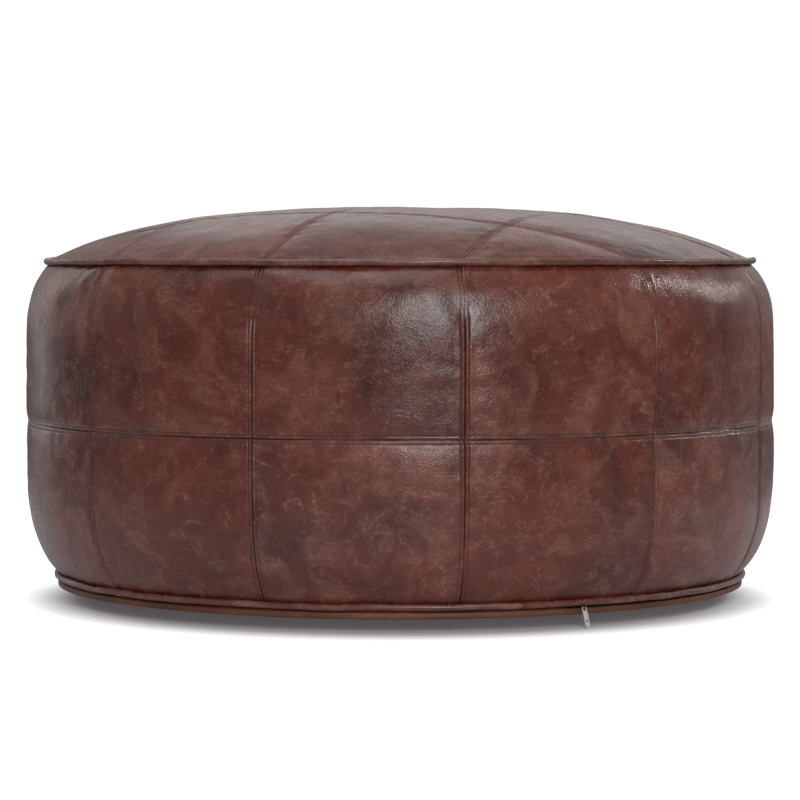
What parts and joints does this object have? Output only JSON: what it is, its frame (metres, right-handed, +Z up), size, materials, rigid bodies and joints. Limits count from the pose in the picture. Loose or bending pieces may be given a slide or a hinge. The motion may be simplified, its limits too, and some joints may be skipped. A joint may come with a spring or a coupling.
{
  "type": "round leather pouf",
  "caption": "Large round floor pouf in patchwork waxed leather with piped edges, a crowned top, a stuffed body and a concealed zip under its lower edge.",
  "frame": {"origin": "on the floor, under the middle of the base", "axes": "+Z up through the middle of the crown; -Y is the front, where the zip pull is just to the right"},
  "size_m": [0.836, 0.836, 0.4335],
  "materials": {
    "leather": "satin",
    "piping_leather": "satin",
    "piping_cord": "matte",
    "zip_tape": "matte",
    "zip_teeth": "satin",
    "zip_metal": "satin",
    "calico": "matte",
    "foam": "matte",
    "wadding": "matte"
  },
  "bodies": {
    "pouf": {"top_patch_11": "leather", "top_patch_12": "leather", "top_patch_13": "leather", "top_patch_14": "leather", "top_patch_21": "leather", "top_patch_22": "leather", "top_patch_23": "leather", "top_patch_24": "leather", "top_patch_31": "leather", "top_patch_32": "leather", "top_patch_33": "leather", "top_patch_34": "leather", "top_patch_41": "leather", "top_patch_42": "leather", "top_patch_43": "leather", "top_patch_44": "leather", "side_upper_01": "leather", "side_upper_02": "leather", "side_upper_03": "leather", "side_upper_04": "leather", "side_upper_05": "leather", "side_upper_06": "leather", "side_upper_07": "leather", "side_upper_08": "leather", "side_upper_09": "leather", "side_upper_10": "leather", "side_upper_11": "leather", "side_upper_12": "leather", "side_lower_01": "leather", "side_lower_02": "leather", "side_lower_03": "leather", "side_lower_04": "leather", "side_lower_05": "leather", "side_lower_06": "leather", "side_lower_07": "leather", "side_lower_08": "leather", "side_lower_09": "leather", "side_lower_10": "leather", "side_lower_11": "leather", "side_lower_12": "leather", "base_panel": "leather", "upper_piping_cover": "piping_leather", "lower_piping_cover": "piping_leather", "upper_piping_cord": "piping_cord", "lower_piping_cord": "piping_cord", "zip_tape_upper": "zip_tape", "zip_tape_lower": "zip_tape", "zip_teeth_upper": "zip_teeth", "zip_teeth_lower": "zip_teeth", "zip_bottom_stop": "zip_metal", "zip_top_stops": "zip_metal", "liner_crown": "calico", "liner_wall": "calico", "liner_base": "calico", "foam_core": "foam", "side_wadding": "wadding", "crown_wadding": "wadding", "base_wadding": "wadding"},
    "slider": {"zip_slider": "zip_metal"},
    "pull": {"zip_pull": "zip_metal"}
  },
  "joints": [
    {"name": "zip_run", "type": "hinge", "parent": "pouf", "child": "slider", "pos_m": [0, 0, 0], "axis": [0, 0, 1], "range_deg": [0, 150], "deforming": ["zip_teeth_upper", "zip_teeth_lower"]},
    {"name": "pull_swing", "type": "hinge", "parent": "slider", "child": "pull", "pos_m": [0.18917, -0.34128, 0.0208], "axis": [-0.8746, -0.4848, 0], "range_deg": [-45, 125]}
  ]
}
